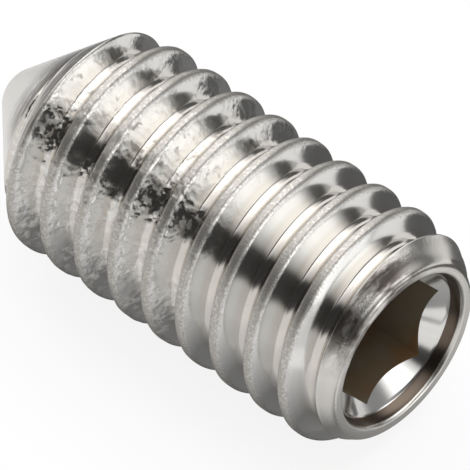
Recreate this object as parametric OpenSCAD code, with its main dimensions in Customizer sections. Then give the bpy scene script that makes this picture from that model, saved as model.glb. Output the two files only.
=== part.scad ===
// Socket set screw with a cone point, turned and thread-rolled from one bar.
// Millimetres. The screw lies along X on its thread crests, with its socket end
// towards +X. The origin is on the surface that it lies on, under its middle.

/* [Thread] */
// Major diameter, over the crests
thread_d = 2.44; // [2:0.01:3]
// Distance from one turn to the next
pitch = 0.45; // [0.37:0.01:0.55]
// Angle between the two flanks of a groove
thread_angle = 60; // [50:1:65]
// Width of the flat along each crest
crest_w = 0.075; // [0.05:0.005:0.1]
// Width of the flat along each root
root_w = 0.1; // [0.06:0.005:0.12]
// Turns the thread about the screw's axis
thread_turn = 60; // [0:1:359]

/* [Body] */
// Overall length, from the socket end's face to the tip
length = 5.2; // [4:0.01:8]
// Width of the flat ring round the socket's mouth
rim_w = 0.115; // [0.08:0.005:0.15]
// Length of the chamfer from the ring to the crests
end_chamfer = 0.36; // [0.2:0.01:0.45]

/* [Point] */
// Angle of the cone point, from side to side
point_angle = 90; // [80:1:120]
// Radius of the blunted tip
tip_r = 0.38; // [0.1:0.01:0.45]

/* [Socket] */
// Across the flats of the hexagon
hex_af = 1.3; // [1.05:0.01:1.5]
// Depth of the hexagon, from the socket end's face
hex_depth = 2; // [1.2:0.05:2.4]
// Space between the pilot hole and the hexagon's flats
pilot_gap = 0.02; // [0.01:0.005:0.05]
// How far the pilot hole runs on past the hexagon, with its full width
pilot_extra = 0.3; // [0.1:0.05:0.5]
// Angle of the pilot hole's drilled bottom, from side to side
drill_angle = 120; // [110:1:140]
// Space between the hexagon's corners and the wall of the mouth
mouth_gap = 0.115; // [0.06:0.005:0.14]
// How far the mouth's wall draws in from the ring to the countersink
mouth_draw = 0.04; // [0.01:0.005:0.05]
// Depth of the mouth's wall
mouth_depth = 0.15; // [0.06:0.01:0.2]
// Angle of the countersink, from side to side
sink_angle = 90; // [80:1:120]
// Turns the hexagon about the screw's axis
hex_turn = 21; // [0:0.5:59.5]

/* [Hidden] */
$fn = 96;
overrun = 0.04;        // how far a cutter passes the surface that it cuts
groove_steps = 36;     // straight pieces in one turn of the groove

thread_r = thread_d / 2;
flank_slope = tan(thread_angle / 2);
thread_depth = (pitch - crest_w - root_w) / 2 / flank_slope;
root_r = thread_r - thread_depth;

hex_r = hex_af / 2 / cos(30);
mouth_r = hex_r + mouth_gap;
throat_r = mouth_r - mouth_draw;
face_r = min(mouth_r + rim_w, thread_r);
pilot_r = hex_af / 2 - pilot_gap;
pilot_depth = hex_depth + pilot_extra;

// The cone runs tangent to the ball that blunts its tip.
cone_slope = tan(point_angle / 2);
ball_x = length - tip_r;
tangent_x = ball_x + tip_r * sin(point_angle / 2);
tangent_r = tip_r * cos(point_angle / 2);
cone_x = tangent_x - (thread_r - tangent_r) / cone_slope;

// The groove starts a turn before the face and ends where the cone has
// already run below the roots.
groove_from = -pitch;
groove_to = cone_x + thread_depth / cone_slope + pitch;
groove_turns = ceil((groove_to - groove_from) / pitch);

// Outline of the groove's cutter, as [radius, place along the axis].
cut_r = thread_r + overrun;
cut_half_w = root_w / 2 + (cut_r - root_r) * flank_slope;
groove_outline = [
    [root_r, -root_w / 2],
    [cut_r, -cut_half_w],
    [cut_r, cut_half_w],
    [root_r, root_w / 2],
];

// Turned blank along +Z: the socket end's face at 0 and the tip at length.
module blank() {
    rotate_extrude()
        polygon([
            [0, 0],
            [face_r, 0],
            [thread_r, end_chamfer],
            [thread_r, cone_x],
            [tangent_r, tangent_x],
            [0, tangent_x],
        ]);
    translate([0, 0, ball_x])
        sphere(r = tip_r);
}

// One right-hand helical groove, swept along the blank as a closed solid.
module thread_groove() {
    corners = len(groove_outline);
    stations = groove_turns * groove_steps;
    points = [
        for (i = [0:stations], c = groove_outline)
            let (turn = i / groove_steps, a = thread_turn + 360 * turn)
            [c[0] * cos(a), c[0] * sin(a), c[1] + groove_from + pitch * turn]
    ];
    sides = [
        for (i = [0:stations - 1], k = [0:corners - 1])
            let (
                here = i * corners + k,
                beside = i * corners + (k + 1) % corners
            )
            each [
                [here, beside, beside + corners],
                [here, beside + corners, here + corners],
            ]
    ];
    start_cap = [[for (k = [corners - 1:-1:0]) k]];
    end_cap = [[for (k = [0:corners - 1]) stations * corners + k]];
    polyhedron(points = points, faces = concat(start_cap, sides, end_cap), convexity = 10);
}

// The pilot hole as drilled and countersunk, and the hexagon broached into it.
module socket() {
    rotate_extrude()
        polygon([
            [0, -overrun],
            [mouth_r, -overrun],
            [mouth_r, 0],
            [throat_r, mouth_depth],
            [pilot_r, mouth_depth + (throat_r - pilot_r) / tan(sink_angle / 2)],
            [pilot_r, pilot_depth],
            [0, pilot_depth + pilot_r / tan(drill_angle / 2)],
        ]);
    rotate([0, 0, hex_turn])
        cylinder(r = hex_r, h = hex_depth, $fn = 6);
}

module set_screw() {
    color("lightgray")
        translate([length / 2, 0, thread_r])
            rotate([0, -90, 0])
                difference() {
                    blank();
                    thread_groove();
                    socket();
                }
}

set_screw();
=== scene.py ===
import math

import bmesh
import bpy
from mathutils import Matrix, Vector


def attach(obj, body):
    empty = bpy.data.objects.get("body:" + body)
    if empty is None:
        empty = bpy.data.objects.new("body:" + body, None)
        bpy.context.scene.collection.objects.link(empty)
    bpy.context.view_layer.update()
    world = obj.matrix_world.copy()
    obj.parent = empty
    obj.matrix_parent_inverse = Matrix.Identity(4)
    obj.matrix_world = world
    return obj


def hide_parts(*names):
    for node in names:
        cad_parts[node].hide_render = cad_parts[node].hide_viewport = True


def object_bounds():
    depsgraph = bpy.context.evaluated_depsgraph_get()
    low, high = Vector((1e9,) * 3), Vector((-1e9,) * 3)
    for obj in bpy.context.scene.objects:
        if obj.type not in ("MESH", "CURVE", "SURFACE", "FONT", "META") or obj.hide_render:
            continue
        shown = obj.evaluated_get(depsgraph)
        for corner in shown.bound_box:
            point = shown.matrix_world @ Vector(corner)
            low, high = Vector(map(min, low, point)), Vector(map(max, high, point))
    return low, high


mm = 0.001  # one millimetre, in the scene's metres


def addNode(tree, kind, inputs=None, **settings):
    node = tree.nodes.new(kind)
    for name, value in settings.items():
        setattr(node, name, value)
    for key, value in (inputs or {}).items():
        if isinstance(value, bpy.types.NodeSocket):
            tree.links.new(value, node.inputs[key])
        else:
            node.inputs[key].default_value = value
    return node


def startMaterial(name):
    material = bpy.data.materials.new(name)
    material.use_nodes = True
    material.node_tree.nodes.clear()
    return material


def linearColour(hexText):
    channels = [int(hexText[i:i + 2], 16) / 255 for i in (1, 3, 5)]
    return [c / 12.92 if c <= 0.04045 else ((c + 0.055) / 1.055) ** 2.4 for c in channels] + [1]


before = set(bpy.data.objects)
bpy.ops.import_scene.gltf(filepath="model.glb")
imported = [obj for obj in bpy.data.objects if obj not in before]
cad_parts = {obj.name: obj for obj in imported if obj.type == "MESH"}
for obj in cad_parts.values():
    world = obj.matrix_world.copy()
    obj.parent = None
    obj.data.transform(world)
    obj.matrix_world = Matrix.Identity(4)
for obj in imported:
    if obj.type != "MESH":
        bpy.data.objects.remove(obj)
cadLow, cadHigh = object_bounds()
length = (cadHigh.x - cadLow.x) / mm
threadRadius = (cadHigh.z - cadLow.z) / 2 / mm
print("frame loaded: length %.3f mm, radius over the crests %.3f mm" % (length, threadRadius))

cameraPlace = {
    "azimuth": 43.15,       # degrees round from straight in front of the screw's side
    "elevation": 46.56,     # degrees above the floor
    "distance": 122.0,      # mm from the socket's face, along the view
    "lens": 973.5,          # mm
    "sensor": 36,           # mm wide
    "nearest": 10,          # mm, where the view starts
    "farthest": 1000,       # mm, where it ends
    "faceRight": 1.618,     # mm that the socket's face lies right of the view's middle
    "faceDown": 1.121,      # mm that it lies below the view's middle
}


def makeCamera():
    azimuth = math.radians(cameraPlace["azimuth"])
    elevation = math.radians(cameraPlace["elevation"])
    right = Vector((math.cos(azimuth), math.sin(azimuth), 0))
    back = Vector((math.sin(azimuth) * math.cos(elevation), -math.cos(azimuth) * math.cos(elevation),
                   math.sin(elevation)))
    up = back.cross(right)
    face = Vector((length / 2, 0, threadRadius))
    place = face - right * cameraPlace["faceRight"] + up * cameraPlace["faceDown"]
    place += back * cameraPlace["distance"]
    data = bpy.data.cameras.new("camera")
    data.lens = cameraPlace["lens"]
    data.sensor_width = cameraPlace["sensor"]
    data.clip_start = cameraPlace["nearest"] * mm
    data.clip_end = cameraPlace["farthest"] * mm
    camera = bpy.data.objects.new("camera", data)
    bpy.context.scene.collection.objects.link(camera)
    camera.matrix_world = Matrix.Translation(place * mm) @ Matrix((right, up, back)).transposed().to_4x4()
    bpy.context.scene.camera = camera


makeCamera()
print("camera placed")

steel = {
    "bright": "#D8D7D4",    # clean rolled steel
    "roughness": 0.135,     # of the clean steel
    # what lies on it and the painted shade and highlights, from the bottom up, as (name, colour, roughness or
    # None where it keeps the one below)
    "layers": [
        ("groove", "#CDC8C1", None),    # painted shade, slightly warm, in the roots
        ("fleckAndHighlight", "#E6E4E0", 0.42),     # torn flecks on the pitted turns, painted lighter as a highlight where they catch light
        ("pitShade", "#5F574F", 0.4),       # painted shade: pits painted dark near the top of the pitted turns, where they show dark against the lit top
        ("crest", "#ACA8A2", 0.4),      # satin crests, which scatter some of their light away
        ("glint", "#CBC8C3", 0.32),     # bright grains on the crests
        ("turned", "#CFCCC7", 0.26),    # the cone, the chamfer and the rim
        ("paintedReflection", "#625C57", 0.3),     # painted dark reflections, in streaks round the axis on one side of the chamfer
        ("mouth", "#63584F", 0.22),     # the film's dark brown edge on the mouth's wall, painted darker as shade inside the mouth
        ("filmAndShade", "#867B69", 0.45),      # the brown film left inside the hexagon, painted darker as shade deep in the socket
        ("tarnish", "#866A4A", None),   # orange-brown patches in the film
    ],
    "filmMetal": 0.35,      # how much of the film still looks like metal
    # noise patterns, as (mm across one grain, detail, roughness, distortion)
    "patterns": {
        "grain": (0.024, 2.0, 0.6, 0.0),    # of the satin crests, drawn coarser than the real one
        "fleckAndHighlight": (0.075, 1.0, 0.4, 0.0),
        "patch": (0.4545, 1.0, 0.5, 0.0),   # where the flecks lie on the pitted turns
        "pitShade": (0.12, 2.0, 0.5, 0.3),
        "tarnish": (0.7, 3.0, 0.5, 0.0),
        "paintedReflection": (0.07, 3.0, 0.6, 0.0),    # across the chamfer: it runs on round the axis
    },
    # how far each shows, as (the value at which it starts, the value at which it is full)
    "fades": {
        "groove": (0.5, 1.0),       # share of the thread's depth
        "crest": (0.4, 0.2),        # the same, with some of the grain added
        "glint": (0.52, 0.68),      # the pattern's own value, here and where nothing else is said
        "patch": (0.32, 0.5),
        "fleckAndHighlight": (0.52, 0.6),
        "pitShade": (0.6, 0.7),
        "top": (0.8, 0.95),         # cosine of the angle from straight up, which keeps the painted pit shade on the lit top
        "mouth": (0.0, 0.5),        # share of the film
        "filmAndShade": (0.5, 1.0),         # the same
        "tarnish": (0.5, 0.68),
        "paintedReflection": (0.35, 0.53),
        "paintedReflectionSide": (0.68, 0.93),    # cosine of the angle from the side with the most painted reflection
        "paintedReflectionEnd": (-2.15, -1.85),   # mm along X
    },
    # each of these shows only where the other does too
    "limits": [
        ("glint", "crest"), ("patch", "pitted"), ("fleckAndHighlight", "patch"), ("pitShade", "top"), ("pitShade", "pitted"),
        ("tarnish", "filmAndShade"), ("paintedReflection", "paintedReflectionSide"), ("paintedReflection", "paintedReflectionEnd"), ("paintedReflection", "turned"),
    ],
    "crestRagged": 0.4,     # how far the grain moves the crests' edges, as a share of the thread's depth
    "paintedReflectionTurn": -25,      # degrees round the axis, from straight up, to the side with the most painted reflection
    "paintedReflectionTurnSize": 0.4,  # radians round the axis that a streak of painted reflection runs on
    "toolMarks": 0.02,      # mm from one turning mark to the next, drawn coarser than the real ones
    "markSlope": 0.7,       # mm along the axis that a turning mark moves for each mm outwards
    "markShare": 0.35,      # how strongly the marks show
    "markHeight": 0.002,    # mm
    "grainHeight": 0.003,   # mm
    "tornHeight": 0.012,    # mm
}


# Bright stainless steel, cold thread-rolled: mirror-like flanks, satin crests, turned ends with fine rings,
# and turns where the rolling has torn the surface into flecks.
def makeStainlessSteel():
    material = startMaterial("rolledStainlessSteel")
    tree = material.node_tree
    place = addNode(tree, "ShaderNodeTexCoord").outputs["Object"]
    place = addNode(tree, "ShaderNodeVectorMath", {0: place, "Scale": 1 / mm}, operation="SCALE").outputs[0]
    shares = {}
    for name in ("grooveDepth", "turned", "pitted", "filmAndShade"):
        shares[name] = addNode(tree, "ShaderNodeAttribute", attribute_name=name).outputs["Fac"]

    # where a point lies round the axis, and on which of the turned rings
    parts = addNode(tree, "ShaderNodeSeparateXYZ", {0: place}).outputs
    height = addNode(tree, "ShaderNodeMath", {0: parts[2], 1: threadRadius}, operation="SUBTRACT").outputs[0]
    outward = addNode(tree, "ShaderNodeCombineXYZ", {0: parts[1], 1: height}).outputs[0]
    radius = addNode(tree, "ShaderNodeVectorMath", {0: outward}, operation="LENGTH").outputs["Value"]
    ring = addNode(tree, "ShaderNodeMath", {0: radius, 1: steel["markSlope"], 2: parts[0]},
                   operation="MULTIPLY_ADD").outputs[0]
    outward = addNode(tree, "ShaderNodeVectorMath", {0: outward}, operation="NORMALIZE").outputs[0]
    top = addNode(tree, "ShaderNodeSeparateXYZ", {0: outward}).outputs[1]
    paintedReflectionTurn = math.radians(steel["paintedReflectionTurn"])
    paintedReflectionDirection = (math.sin(paintedReflectionTurn), math.cos(paintedReflectionTurn), 0)
    side = addNode(tree, "ShaderNodeVectorMath", {0: outward, 1: paintedReflectionDirection},
                   operation="DOT_PRODUCT").outputs["Value"]
    stretch = steel["patterns"]["paintedReflection"][0] / steel["paintedReflectionTurnSize"]
    streak = addNode(tree, "ShaderNodeVectorMath", {0: outward, "Scale": stretch},
                     operation="SCALE").outputs[0]
    along = addNode(tree, "ShaderNodeCombineXYZ", {2: ring}).outputs[0]
    streak = addNode(tree, "ShaderNodeVectorMath", {0: streak, 1: along}, operation="ADD").outputs[0]

    patterns = {}
    for name, (size, detail, roughness, distortion) in steel["patterns"].items():
        patterns[name] = addNode(tree, "ShaderNodeTexNoise", {
            "Vector": streak if name == "paintedReflection" else place, "Scale": 1 / size,
            "Detail": detail, "Roughness": roughness, "Distortion": distortion,
        }).outputs["Fac"]
    ragged = addNode(tree, "ShaderNodeMath",
                     {0: patterns["grain"], 1: steel["crestRagged"], 2: shares["grooveDepth"]},
                     operation="MULTIPLY_ADD").outputs[0]

    values = dict(patterns, groove=shares["grooveDepth"], crest=ragged, glint=patterns["grain"], top=top,
                  mouth=shares["filmAndShade"], filmAndShade=shares["filmAndShade"], paintedReflectionSide=side, paintedReflectionEnd=parts[0])
    for name, (starts, full) in steel["fades"].items():
        shares[name] = addNode(tree, "ShaderNodeMapRange",
                               {"Value": values[name], "From Min": starts, "From Max": full}).outputs[0]
    for name, other in steel["limits"]:
        shares[name] = addNode(tree, "ShaderNodeMath", {0: shares[name], 1: shares[other]},
                               operation="MULTIPLY").outputs[0]

    colour = linearColour(steel["bright"])
    rough = steel["roughness"]
    for name, layerColour, layerRoughness in steel["layers"]:
        colour = addNode(tree, "ShaderNodeMix", {0: shares[name], 6: colour, 7: linearColour(layerColour)},
                         data_type="RGBA").outputs[2]
        if layerRoughness:
            rough = addNode(tree, "ShaderNodeMix", {0: shares[name], 2: rough, 3: layerRoughness}).outputs[0]

    bump = addNode(tree, "ShaderNodeBump", {
        "Strength": shares["crest"], "Distance": steel["grainHeight"] * mm, "Height": patterns["grain"],
    }).outputs[0]
    torn = addNode(tree, "ShaderNodeMath", {0: patterns["fleckAndHighlight"], 1: shares["patch"]},
                   operation="MULTIPLY").outputs[0]
    bump = addNode(tree, "ShaderNodeBump", {
        "Strength": 1.0, "Distance": steel["tornHeight"] * mm, "Height": torn, "Normal": bump,
    }).outputs[0]
    marks = addNode(tree, "ShaderNodeTexNoise", {"W": ring, "Scale": 1 / steel["toolMarks"], "Detail": 1.0},
                    noise_dimensions="1D").outputs["Fac"]
    markShare = addNode(tree, "ShaderNodeMath", {0: shares["turned"], 1: steel["markShare"]},
                        operation="MULTIPLY").outputs[0]
    bump = addNode(tree, "ShaderNodeBump", {
        "Strength": markShare, "Distance": steel["markHeight"] * mm, "Height": marks, "Normal": bump,
    }).outputs[0]
    metal = addNode(tree, "ShaderNodeMapRange",
                    {"Value": shares["filmAndShade"], "To Min": 1.0, "To Max": steel["filmMetal"]}).outputs[0]
    shader = addNode(tree, "ShaderNodeBsdfPrincipled",
                     {"Base Color": colour, "Metallic": metal, "Roughness": rough, "Normal": bump})
    addNode(tree, "ShaderNodeOutputMaterial", {"Surface": shader.outputs[0]})
    return material


stainlessSteel = makeStainlessSteel()
print("steel made")

screw = {
    "pitch": 0.45,          # mm from one turn to the next
    "flankAngle": 60,       # degrees between the two flanks of a groove
    "crestWidth": 0.075,    # mm
    "rootWidth": 0.1,       # mm
    "threadTurn": 60,       # degrees that the thread is turned about the axis
    "rimWidth": 0.115,      # mm, the ring round the mouth
    "chamfer": 0.36,        # mm along the axis
    "steps": 5,             # flats that the turning tool has left on the chamfer
    "stepDepth": 0.012,     # mm
    "stepRound": 0.04,      # mm
    "pointAngle": 90,       # degrees across the cone
    "tipRadius": 0.38,      # mm
    "tipSteps": 16,         # straight pieces in the tip's arc
    "poleRadius": 0.03,     # mm, the last ring before the tip's middle
    "hexFlats": 1.3,        # mm across the flats
    "hexDepth": 2.0,        # mm
    "hexTurn": 21,          # degrees that the hexagon is turned about the axis
    "pilotGap": 0.02,       # mm between the pilot hole and the flats
    "pilotExtra": 0.3,      # mm that the pilot hole runs on past the hexagon
    "drillAngle": 120,      # degrees across the drilled bottom
    "mouthGap": 0.115,      # mm between the hexagon's corners and the mouth
    "mouthDraw": 0.04,      # mm that the mouth's wall draws in
    "mouthDepth": 0.15,     # mm
    "mouthFilm": 0.5,       # how much of the film, with its painted shade, its wall has
    "sinkAngle": 90,        # degrees across the countersink
    "endsDepth": 0.45,      # groove depth that the socket's finish goes by: neither crest nor root
    "mouthRound": 0.02,     # mm, the radius of the mouth's edge
    "rimRound": 0.06,       # mm, the radius of the ring's outer edge
    "crestRound": 0.04,     # mm over which a flank runs into its crest
    "rootRound": 0.07,      # mm over which it runs into its root
    "cutRound": 0.05,       # mm over which the chamfer and the cone run into the thread
    "roundSteps": 6,        # points on each rounding of the outline
    "turnedFade": 0.02,     # mm of turning past the thread's form at which it looks wholly turned
    "pitsMiddle": 3.3,      # mm from the socket's face to the middle of the torn turns
    "pitsReach": 1.35,      # mm that they reach to each side of it
    "pitsEnds": (1.2, 0.7),     # shares of that reach at which the pits start and are full
    "pitsTurn": -75,        # degrees round the axis, from straight up, to the side that is torn most
    "pitsSide": (0.3, 0.75),    # cosines of the angle from that side at which they start and are full
    "pitsFar": 0.3,         # how full they are on the other side
    "pitsDepth": 0.05,      # mm below the turned blank at which they are full
    "pitSize": 0.14,        # mm across one pit
    "pitDepth": 0.0045,     # mm
    "pitEdge": (0.42, 0.7),     # values of the pits' noise at which a pit starts and is full
    "columns": 264,         # a multiple of 6, so that each corner of the hexagon has a column
    "rowsPerTurn": 24,
    "bunching": 0.4,        # how much closer the rows lie on the crests and roots than on the flanks
    "weld": 0.0001,         # mm, within which points of the skin are one
}

flankSlope = math.tan(math.radians(screw["flankAngle"] / 2))
threadDepth = (screw["pitch"] - screw["crestWidth"] - screw["rootWidth"]) / 2 / flankSlope
rootRadius = threadRadius - threadDepth
hexRadius = screw["hexFlats"] / 2 / math.cos(math.radians(30))
mouthRadius = hexRadius + screw["mouthGap"]
throatRadius = mouthRadius - screw["mouthDraw"]
faceRadius = mouthRadius + screw["rimWidth"]


# The screw's outline from the lip of its mouth to the tip, as (along the axis, radius, rounding's radius).
def screwOutline():
    halfPoint = math.radians(screw["pointAngle"] / 2)
    tipRadius = screw["tipRadius"]
    ballCentre = length - tipRadius
    tangentAlong = ballCentre + tipRadius * math.sin(halfPoint)
    tangentRadius = tipRadius * math.cos(halfPoint)
    barrelRadius = threadRadius + screw["cutRound"]  # so that the barrel itself leaves the crests whole
    chamferEnd = screw["chamfer"] * (barrelRadius - faceRadius) / (threadRadius - faceRadius)
    coneStart = tangentAlong - (barrelRadius - tangentRadius) / math.tan(halfPoint)
    lipDepth = 2 * screw["mouthRound"]
    points = [
        (lipDepth, mouthRadius - screw["mouthDraw"] * lipDepth / screw["mouthDepth"], 0),
        (0, mouthRadius, screw["mouthRound"]),
        (0, faceRadius, screw["rimRound"]),
    ]
    for i in range(1, screw["steps"]):
        share = i / screw["steps"]
        sink = screw["stepDepth"] * (i % 2)
        radius = faceRadius + (barrelRadius - faceRadius) * share - sink
        points.append((chamferEnd * share, radius, screw["stepRound"]))
    points += [(chamferEnd, barrelRadius, 0), (coneStart, barrelRadius, 0)]
    poleAngle = math.asin(screw["poleRadius"] / tipRadius)
    for i in range(screw["tipSteps"] + 1):
        share = i / screw["tipSteps"]
        angle = (math.pi / 2 - halfPoint) * (1 - share) + poleAngle * share
        points.append((ballCentre + tipRadius * math.cos(angle), tipRadius * math.sin(angle), 0))
    return points


# The length of an outline, with its corners rounded.
def runAlong(points):
    run = sum(math.dist(a[:2], b[:2]) for a, b in zip(points, points[1:]))
    for before, corner, after in zip(points, points[1:], points[2:]):
        edge, nextEdge = Vector(corner[:2]) - Vector(before[:2]), Vector(after[:2]) - Vector(corner[:2])
        turn = abs(nextEdge.angle_signed(edge))
        run -= corner[2] * (2 * math.tan(turn / 2) - turn)
    return run


def makeOutline():
    points = screwOutline()
    mesh = bpy.data.meshes.new("outline")
    mesh.from_pydata([(along, radius, 0) for along, radius, _ in points],
                     [(i, i + 1) for i in range(len(points) - 1)], [])
    rounding = mesh.attributes.new("rounding", "FLOAT", "POINT")
    rounding.data.foreach_set("value", [r for _, _, r in points])
    outline = bpy.data.objects.new("screwBody", mesh)
    bpy.context.scene.collection.objects.link(outline)
    return outline


# Turns the outline into the screw's skin. The rows follow the thread's helix, so that each crest and root
# edge is a row of the mesh.
def makeThreadTree():
    tree = bpy.data.node_groups.new("threadedSkin", "GeometryNodeTree")
    inputs = {
        "Geometry": ["Geometry"], "Int": ["Columns", "Rows"], "Material": ["Material"],
        "Float": ["Turns", "Pitch", "Bunching", "Start", "First angle", "Thread angle", "Crest radius",
                  "Root radius", "Root width", "Flank slope", "Crest round", "Root round", "Cut round",
                  "Length", "Pits middle", "Pits reach", "Pits angle", "Pit size", "Pit depth"],
    }
    for kind, names in inputs.items():
        for name in names:
            tree.interface.new_socket(name=name, in_out="INPUT", socket_type="NodeSocket" + kind)
    tree.interface.new_socket(name="Geometry", in_out="OUTPUT", socket_type="NodeSocketGeometry")
    given = addNode(tree, "NodeGroupInput").outputs

    rounding = addNode(tree, "GeometryNodeInputNamedAttribute", {"Name": "rounding"}).outputs[0]
    outline = addNode(tree, "GeometryNodeMeshToCurve", {"Mesh": given["Geometry"]}).outputs[0]
    outline = addNode(tree, "GeometryNodeFilletCurve",
                      {"Curve": outline, "Count": screw["roundSteps"], "Radius": rounding},
                      mode="POLY").outputs[0]

    across = addNode(tree, "ShaderNodeMath", {0: given["Columns"], 1: 1}, operation="ADD").outputs[0]
    down = addNode(tree, "ShaderNodeMath", {0: given["Rows"], 1: 1}, operation="ADD").outputs[0]
    grid = addNode(tree, "GeometryNodeMeshGrid",
                   {"Size X": 1, "Size Y": 1, "Vertices X": across, "Vertices Y": down})
    place = addNode(tree, "ShaderNodeSeparateXYZ",
                    {0: addNode(tree, "GeometryNodeInputPosition").outputs[0]}).outputs
    column = addNode(tree, "ShaderNodeMath", {0: place[0], 1: 0.5}, operation="ADD").outputs[0]
    row = addNode(tree, "ShaderNodeMath", {0: place[1], 1: 0.5}, operation="ADD").outputs[0]

    # how far along the outline each point lies
    turn = addNode(tree, "ShaderNodeMath", {0: row, 1: given["Turns"]}, operation="MULTIPLY").outputs[0]
    wave = addNode(tree, "ShaderNodeMath", {0: turn, 1: 4 * math.pi}, operation="MULTIPLY").outputs[0]
    wave = addNode(tree, "ShaderNodeMath", {0: wave}, operation="SINE").outputs[0]
    bunch = addNode(tree, "ShaderNodeMath", {0: given["Bunching"], 1: -1 / (4 * math.pi)},
                    operation="MULTIPLY").outputs[0]
    turn = addNode(tree, "ShaderNodeMath", {0: wave, 1: bunch, 2: turn}, operation="MULTIPLY_ADD").outputs[0]
    turn = addNode(tree, "ShaderNodeMath", {0: turn, 1: column}, operation="ADD").outputs[0]
    run = addNode(tree, "ShaderNodeMath", {0: turn, 1: given["Pitch"], 2: given["Start"]},
                  operation="MULTIPLY_ADD").outputs[0]
    sample = addNode(tree, "GeometryNodeSampleCurve", {"Curves": outline, "Length": run}, mode="LENGTH")
    turned = addNode(tree, "ShaderNodeSeparateXYZ", {0: sample.outputs["Position"]}).outputs  # along, radius

    # how far each point lies from the middle of the groove
    angle = addNode(tree, "ShaderNodeMath", {0: column, 1: 360, 2: given["First angle"]},
                    operation="MULTIPLY_ADD").outputs[0]
    lag = addNode(tree, "ShaderNodeMath", {0: angle, 1: given["Thread angle"]},
                  operation="SUBTRACT").outputs[0]
    lag = addNode(tree, "ShaderNodeMath", {0: lag, 1: -1 / 360}, operation="MULTIPLY").outputs[0]
    phase = addNode(tree, "ShaderNodeMath", {0: turned[0], 1: given["Pitch"]}, operation="DIVIDE").outputs[0]
    phase = addNode(tree, "ShaderNodeMath", {0: phase, 1: lag}, operation="ADD").outputs[0]
    aside = addNode(tree, "ShaderNodeMath", {0: phase, 1: 0.5}, operation="PINGPONG").outputs[0]
    aside = addNode(tree, "ShaderNodeMath", {0: aside, 1: given["Pitch"]}, operation="MULTIPLY").outputs[0]

    # the thread's own radius there: root, flank or crest
    halfRoot = addNode(tree, "ShaderNodeMath", {0: given["Root width"], 1: 0.5},
                       operation="MULTIPLY").outputs[0]
    flank = addNode(tree, "ShaderNodeMath", {0: aside, 1: halfRoot}, operation="SUBTRACT").outputs[0]
    flank = addNode(tree, "ShaderNodeMath", {0: flank, 1: given["Flank slope"]},
                    operation="DIVIDE").outputs[0]
    flank = addNode(tree, "ShaderNodeMath", {0: flank, 1: given["Root radius"]}, operation="ADD").outputs[0]
    form = addNode(tree, "ShaderNodeMath", {0: flank, 1: given["Root radius"], 2: given["Root round"]},
                   operation="SMOOTH_MAX").outputs[0]
    form = addNode(tree, "ShaderNodeMath", {0: form, 1: given["Crest radius"], 2: given["Crest round"]},
                   operation="SMOOTH_MIN").outputs[0]
    radius = addNode(tree, "ShaderNodeMath", {0: form, 1: turned[1], 2: given["Cut round"]},
                     operation="SMOOTH_MIN").outputs[0]

    radians = addNode(tree, "ShaderNodeMath", {0: angle}, operation="RADIANS").outputs[0]
    sine = addNode(tree, "ShaderNodeMath", {0: radians}, operation="SINE").outputs[0]
    cosine = addNode(tree, "ShaderNodeMath", {0: radians}, operation="COSINE").outputs[0]

    # pits where the rolling has torn the surface
    whole = addNode(tree, "ShaderNodeCombineXYZ", {
        0: turned[0],
        1: addNode(tree, "ShaderNodeMath", {0: radius, 1: sine}, operation="MULTIPLY").outputs[0],
        2: addNode(tree, "ShaderNodeMath", {0: radius, 1: cosine}, operation="MULTIPLY").outputs[0],
    }).outputs[0]
    away = addNode(tree, "ShaderNodeMath", {0: turned[0], 1: given["Pits middle"]},
                   operation="SUBTRACT").outputs[0]
    away = addNode(tree, "ShaderNodeMath", {0: away}, operation="ABSOLUTE").outputs[0]
    away = addNode(tree, "ShaderNodeMath", {0: away, 1: given["Pits reach"]}, operation="DIVIDE").outputs[0]
    starts, full = screw["pitsEnds"]
    pitted = addNode(tree, "ShaderNodeMapRange",
                     {"Value": away, "From Min": starts, "From Max": full}).outputs[0]
    side = addNode(tree, "ShaderNodeMath", {0: angle, 1: given["Pits angle"]},
                   operation="SUBTRACT").outputs[0]
    side = addNode(tree, "ShaderNodeMath", {0: side}, operation="RADIANS").outputs[0]
    side = addNode(tree, "ShaderNodeMath", {0: side}, operation="COSINE").outputs[0]
    starts, full = screw["pitsSide"]
    side = addNode(tree, "ShaderNodeMapRange", {
        "Value": side, "From Min": starts, "From Max": full, "To Min": screw["pitsFar"],
    }).outputs[0]
    below = addNode(tree, "ShaderNodeMath", {0: turned[1], 1: form}, operation="SUBTRACT").outputs[0]
    below = addNode(tree, "ShaderNodeMapRange", {"Value": below, "From Max": screw["pitsDepth"]}).outputs[0]
    for share in (side, below):
        pitted = addNode(tree, "ShaderNodeMath", {0: pitted, 1: share}, operation="MULTIPLY").outputs[0]
    scale = addNode(tree, "ShaderNodeMath", {0: 1.0, 1: given["Pit size"]}, operation="DIVIDE").outputs[0]
    pit = addNode(tree, "ShaderNodeTexNoise", {"Vector": whole, "Scale": scale, "Detail": 1.0}).outputs["Fac"]
    starts, full = screw["pitEdge"]
    pit = addNode(tree, "ShaderNodeMapRange", {"Value": pit, "From Min": starts, "From Max": full}).outputs[0]
    for share in (pitted, given["Pit depth"]):
        pit = addNode(tree, "ShaderNodeMath", {0: pit, 1: share}, operation="MULTIPLY").outputs[0]
    radius = addNode(tree, "ShaderNodeMath", {0: radius, 1: pit}, operation="SUBTRACT").outputs[0]

    halfLength = addNode(tree, "ShaderNodeMath", {0: given["Length"], 1: 0.5},
                         operation="MULTIPLY").outputs[0]
    skin = addNode(tree, "ShaderNodeCombineXYZ", {
        0: addNode(tree, "ShaderNodeMath", {0: halfLength, 1: turned[0]}, operation="SUBTRACT").outputs[0],
        1: addNode(tree, "ShaderNodeMath", {0: radius, 1: sine}, operation="MULTIPLY").outputs[0],
        2: addNode(tree, "ShaderNodeMath", {0: radius, 1: cosine, 2: given["Crest radius"]},
                   operation="MULTIPLY_ADD").outputs[0],
    }).outputs[0]

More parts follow.
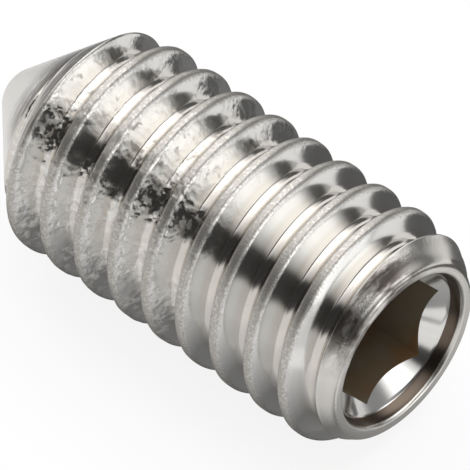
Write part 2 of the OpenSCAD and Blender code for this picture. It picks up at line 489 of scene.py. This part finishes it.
    depth = addNode(tree, "ShaderNodeMapRange", {"Value": form, "From Min": given["Crest radius"],
                                                 "From Max": given["Root radius"]}).outputs[0]
    spare = addNode(tree, "ShaderNodeMath", {0: form, 1: turned[1]}, operation="SUBTRACT").outputs[0]
    turnedShare = addNode(tree, "ShaderNodeMapRange",
                          {"Value": spare, "From Max": screw["turnedFade"]}).outputs[0]
    body = grid.outputs["Mesh"]
    for name, value in [("grooveDepth", depth), ("turned", turnedShare), ("pitted", pitted)]:
        body = addNode(tree, "GeometryNodeStoreNamedAttribute",
                       {"Geometry": body, "Name": name, "Value": value}).outputs[0]
    body = addNode(tree, "GeometryNodeSetPosition", {"Geometry": body, "Position": skin}).outputs[0]
    body = addNode(tree, "GeometryNodeMergeByDistance",
                   {"Geometry": body, "Distance": screw["weld"]}).outputs[0]
    body = addNode(tree, "GeometryNodeTransform", {"Geometry": body, "Scale": (mm, mm, mm)}).outputs[0]
    body = addNode(tree, "GeometryNodeSetShadeSmooth", {"Geometry": body}).outputs[0]
    body = addNode(tree, "GeometryNodeRealizeInstances", {"Geometry": body}).outputs[0]
    body = addNode(tree, "GeometryNodeSetMaterial",
                   {"Geometry": body, "Material": given["Material"]}).outputs[0]
    addNode(tree, "NodeGroupOutput", {"Geometry": body})
    return tree


def makeThreadedSkin():
    outline = makeOutline()
    tree = makeThreadTree()
    points = screwOutline()
    barrel = 2 + screw["steps"]  # the outline's point where the barrel starts
    lead = runAlong(points[:barrel + 1]) - points[barrel][0]
    # a row lies on each crest and root edge, and the first turn of rows comes before the outline
    start = lead + screw["pitch"] * (screw["hexTurn"] - screw["threadTurn"]) / 360
    start -= math.ceil(start / screw["pitch"] + 1) * screw["pitch"]
    turns = math.ceil((runAlong(points) - start) / screw["pitch"])
    values = {
        "Columns": screw["columns"], "Rows": turns * screw["rowsPerTurn"], "Turns": float(turns),
        "Pitch": screw["pitch"], "Bunching": screw["bunching"], "Start": start,
        "First angle": float(screw["hexTurn"]), "Thread angle": float(screw["threadTurn"]),
        "Crest radius": threadRadius, "Root radius": rootRadius, "Root width": screw["rootWidth"],
        "Flank slope": flankSlope, "Crest round": screw["crestRound"], "Root round": screw["rootRound"],
        "Cut round": screw["cutRound"], "Length": length, "Pits middle": screw["pitsMiddle"],
        "Pits reach": screw["pitsReach"], "Pits angle": float(screw["pitsTurn"]),
        "Pit size": screw["pitSize"], "Pit depth": screw["pitDepth"], "Material": stainlessSteel,
    }
    modifier = outline.modifiers.new("threadedSkin", "NODES")
    modifier.node_group = tree
    for item in tree.interface.items_tree:
        if item.in_out == "INPUT" and item.name in values:
            modifier[item.identifier] = values[item.name]
    graph = bpy.context.evaluated_depsgraph_get()
    mesh = bpy.data.meshes.new_from_object(outline.evaluated_get(graph), depsgraph=graph)
    outline.modifiers.remove(modifier)
    mesh.materials.pop(index=0)  # the empty slot that the outline had
    outline.data = mesh
    return outline


# The radius of the hexagon at an angle round the axis, in degrees.
def hexagonRadius(angle):
    return screw["hexFlats"] / 2 / math.cos(math.radians((angle - screw["hexTurn"]) % 60 - 30))


# The socket's rings from its lip to the drilled bottom, as ((along, radius) of each column, sharp or not,
# film with its painted shade), and the depth of its middle.
def socketRings(angles):
    sinkSlope = math.tan(math.radians(screw["sinkAngle"] / 2))
    pilotRadius = screw["hexFlats"] / 2 - screw["pilotGap"]
    pilotDepth = screw["hexDepth"] + screw["pilotExtra"]
    coneDepth = pilotRadius / math.tan(math.radians(screw["drillAngle"] / 2))
    throatDepth = screw["mouthDepth"]
    edges = [hexagonRadius(angle) for angle in angles]
    edgeDepths = [throatDepth + (throatRadius - edge) / sinkSlope for edge in edges]
    rings = [([(throatDepth, throatRadius)] * len(angles), False, screw["mouthFilm"])]
    sinkSteps, wallSteps, coneSteps = 6, 10, 6
    for i in range(1, sinkSteps + 1):
        share = i / sinkSteps
        ring = [(throatDepth + (depth - throatDepth) * share, throatRadius + (edge - throatRadius) * share)
                for edge, depth in zip(edges, edgeDepths)]
        rings.append((ring, i == sinkSteps, 0))
    for i in range(1, wallSteps + 1):
        share = i / wallSteps
        ring = [(depth + (screw["hexDepth"] - depth) * share, edge)
                for edge, depth in zip(edges, edgeDepths)]
        rings.append((ring, i == wallSteps, 1))
    rings.append(([(screw["hexDepth"], pilotRadius)] * len(angles), True, 1))
    rings.append(([(pilotDepth, pilotRadius)] * len(angles), True, 1))
    for i in range(1, coneSteps):
        share = i / coneSteps
        ring = [(pilotDepth + coneDepth * share, pilotRadius * (1 - share))] * len(angles)
        rings.append((ring, False, 1))
    return rings, pilotDepth + coneDepth


# Closes the skin: the socket at one end, and the tip's middle at the other.
def closeEnds(body):
    columns = screw["columns"]
    angles = [screw["hexTurn"] + 360 * i / columns for i in range(columns)]
    mesh = bmesh.new()
    mesh.from_mesh(body.data)
    filmShare = mesh.faces.layers.float.new("filmAndShade")
    grooveDepth = mesh.verts.layers.float["grooveDepth"]
    loops = {"socket": [None] * columns, "tip": [None] * columns}
    for vertex in {v for e in mesh.edges if e.is_boundary for v in e.verts}:
        angle = math.degrees(math.atan2(vertex.co.y, vertex.co.z - threadRadius * mm)) - screw["hexTurn"]
        loops["socket" if vertex.co.x > 0 else "tip"][round(angle * columns / 360) % columns] = vertex

    def addVertex(along, radius, angle):
        turn = math.radians(angle)
        vertex = mesh.verts.new(((length / 2 - along) * mm, radius * math.sin(turn) * mm,
                                 (threadRadius + radius * math.cos(turn)) * mm))
        vertex[grooveDepth] = screw["endsDepth"]
        return vertex

    def addFace(corners, filmAndShade):
        face = mesh.faces.new(corners)
        face.smooth = True
        face[filmShare] = filmAndShade

    def addFan(loop, middle, filmAndShade):
        for i in range(columns):
            addFace((loop[i], loop[(i + 1) % columns], middle), filmAndShade)

    rings, bottom = socketRings(angles)
    loop = loops["socket"]
    for ring, isSharp, filmAndShade in rings:
        nextLoop = [addVertex(along, radius, angle) for (along, radius), angle in zip(ring, angles)]
        for i in range(columns):
            j = (i + 1) % columns
            addFace((loop[i], loop[j], nextLoop[j], nextLoop[i]), filmAndShade)
            if isSharp:
                mesh.edges.get((nextLoop[i], nextLoop[j])).smooth = False
            if i % (columns // 6) == 0 and ring[i][1] == hexRadius:
                mesh.edges.get((loop[i], nextLoop[i])).smooth = False
        loop = nextLoop
    addFan(loop, addVertex(bottom, 0, 0), 1)
    addFan(loops["tip"], addVertex(length, 0, 0), 0)
    bmesh.ops.recalc_face_normals(mesh, faces=mesh.faces)
    mesh.to_mesh(body.data)
    mesh.free()


body = makeThreadedSkin()
print("thread made: %d faces" % len(body.data.polygons))
closeEnds(body)
print("socket and tip closed: %d faces" % len(body.data.polygons))

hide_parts("set_screw")
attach(body, "root")

studio = {
    "floorColour": "#FAFAFA",
    "floorSize": 800,       # mm
    "floorWhite": 0.87,     # how much of the floor that is seen is plain white, with the shadow in the rest
    "cardHeight": 0.02,     # mm above the floor
    # these glow with painted tones that only the reflections show: lighter and darker floor, and beside and
    # under the screw its painted contact shadow
    # cards on the floor, as (low x, high x, low y, high y, tone at low y, tone at high y), in mm
    "cards": [
        (-200, 0, 2.2, 200, 0.2, 0.2),
        (0, 200, 2.2, 6.5, 0.12, 0.12),
        (0, 200, 60, 300, 0.12, 0.12),
        (2.4, 3.6, -1.1, 2.2, 0.2, 0.75),
        (5.2, 8, -3.2, -1.4, 1.15, 1.15),
        (-2.7, 2.4, -1.1, 2.2, 0.2, 0.22),
        (-2.7, 60, -1.9, -1.1, 0.8, 0.2),
        (-2.7, 60, -5, -1.9, 0.97, 0.8),
    ],
    # light round the screw's axis, as (degrees from straight up towards the far side, strength)
    "sky": [(-90, 0.97), (-71, 0.97), (-65, 0.05), (-32, 0.03), (-25, 0.8), (-16, 1.3), (-2, 1.95),
            (14, 2.3), (36, 2.25), (44, 1.9), (54, 0.85), (62, 0.15), (79, 0.1), (86, 0.85), (90, 0.85)],
    # the same past the tip, on the camera's side and past the socket, each as (X of the direction at which
    # it starts, X at which it is full, bands)
    "otherSkies": [
        (-0.36, -0.44, [(-90, 0.97), (-71, 0.97), (-65, 0.05), (-32, 0.03), (-25, 0.7), (-16, 1.05),
                        (-2, 1.75), (14, 2.15), (44, 1.9), (60, 1.3), (90, 1.3)]),
        (0.46, 0.52, [(-90, 0.97), (-71, 0.97), (-65, 0.05), (-32, 0.04), (-10, 0.06), (10, 0.14),
                      (25, 0.3), (44, 0.4), (60, 0.3), (77, 0.3), (84, 0.9), (90, 0.9)]),
        (0.72, 0.8, [(-90, 0.97), (-71, 0.97), (-65, 0.05), (-32, 0.03), (-25, 0.7), (-16, 1.05),
                     (-2, 1.75), (14, 2.15), (44, 1.9), (60, 1.4), (90, 1.4)]),
    ],
}


def makePlane(name, lowX, highX, lowY, highY, height, material):
    corners = [(lowX, lowY), (highX, lowY), (highX, highY), (lowX, highY)]
    mesh = bpy.data.meshes.new(name)
    mesh.from_pydata([Vector((x, y, height)) * mm for x, y in corners], [], [(0, 1, 2, 3)])
    mesh.materials.append(material)
    plane = bpy.data.objects.new(name, mesh)
    bpy.context.scene.collection.objects.link(plane)
    return plane


def makeFloor():
    material = startMaterial("whiteSweep")
    tree = material.node_tree
    ray = addNode(tree, "ShaderNodeLightPath").outputs
    seen = ray["Is Camera Ray"]
    for kind in ("Is Glossy Ray", "Is Transmission Ray"):
        seen = addNode(tree, "ShaderNodeMath", {0: seen, 1: ray[kind]}, operation="ADD").outputs[0]
    seen = addNode(tree, "ShaderNodeMath", {0: seen, 1: studio["floorWhite"]},
                   operation="MULTIPLY").outputs[0]
    colour = linearColour(studio["floorColour"])
    diffuse = addNode(tree, "ShaderNodeBsdfDiffuse", {"Color": colour}).outputs[0]
    white = addNode(tree, "ShaderNodeEmission").outputs[0]
    shown = addNode(tree, "ShaderNodeMixShader", {0: seen, 1: diffuse, 2: white})
    addNode(tree, "ShaderNodeOutputMaterial", {"Surface": shown.outputs[0]})
    half = studio["floorSize"] / 2
    makePlane("floor", -half, half, -half, half, 0, material)


# A card flat on the floor, which only the screw's reflections show. Its tone runs from one edge to the other.
def makeCard(name, lowX, highX, lowY, highY, lowTone, highTone):
    material = startMaterial(name)
    tree = material.node_tree
    place = addNode(tree, "ShaderNodeTexCoord").outputs["Object"]
    place = addNode(tree, "ShaderNodeSeparateXYZ", {0: place}).outputs
    tone = addNode(tree, "ShaderNodeMapRange", {
        "Value": place[1], "From Min": lowY * mm, "From Max": highY * mm,
        "To Min": lowTone, "To Max": highTone,
    }).outputs[0]
    glow = addNode(tree, "ShaderNodeEmission", {"Strength": tone})
    addNode(tree, "ShaderNodeOutputMaterial", {"Surface": glow.outputs[0]})
    card = makePlane(name, lowX, highX, lowY, highY, studio["cardHeight"], material)
    card.visible_camera = card.visible_diffuse = card.visible_shadow = False


def makeCards():
    for i, card in enumerate(studio["cards"]):
        makeCard("card%d" % i, *card)


# A softbox overhead, with a dark gap beside it and dimmer light past it, as bands round the screw's axis.
def makeWorld():
    world = bpy.data.worlds.new("studio")
    world.use_nodes = True
    bpy.context.scene.world = world
    tree = world.node_tree
    tree.nodes.clear()
    direction = addNode(tree, "ShaderNodeTexCoord").outputs["Generated"]
    place = addNode(tree, "ShaderNodeSeparateXYZ", {0: direction}).outputs
    around = addNode(tree, "ShaderNodeMath", {0: place[1], 1: place[2]}, operation="ARCTAN2").outputs[0]
    around = addNode(tree, "ShaderNodeMapRange", {"Value": around, "From Min": -math.pi, "From Max": math.pi})
    brightest = max(strength for _, strength in studio["sky"])

    def addSky(bands):
        ramp = addNode(tree, "ShaderNodeValToRGB", {0: around.outputs[0]})
        elements = ramp.color_ramp.elements
        while len(elements) < len(bands):
            elements.new(1)
        for element, (angle, strength) in zip(elements, bands):
            element.position = (angle + 180) / 360
            element.color = [strength / brightest] * 3 + [1]
        return ramp.outputs[0]

    light = addSky(studio["sky"])
    for start, end, bands in studio["otherSkies"]:
        share = addNode(tree, "ShaderNodeMapRange",
                        {"Value": place[0], "From Min": start, "From Max": end}).outputs[0]
        light = addNode(tree, "ShaderNodeMix", {0: share, 6: light, 7: addSky(bands)},
                        data_type="RGBA").outputs[2]
    background = addNode(tree, "ShaderNodeBackground", {"Color": light, "Strength": brightest})
    addNode(tree, "ShaderNodeOutputWorld", {"Surface": background.outputs[0]})


makeFloor()
makeCards()
makeWorld()
bpy.context.scene.view_settings.view_transform = "Standard"
print("studio lit")
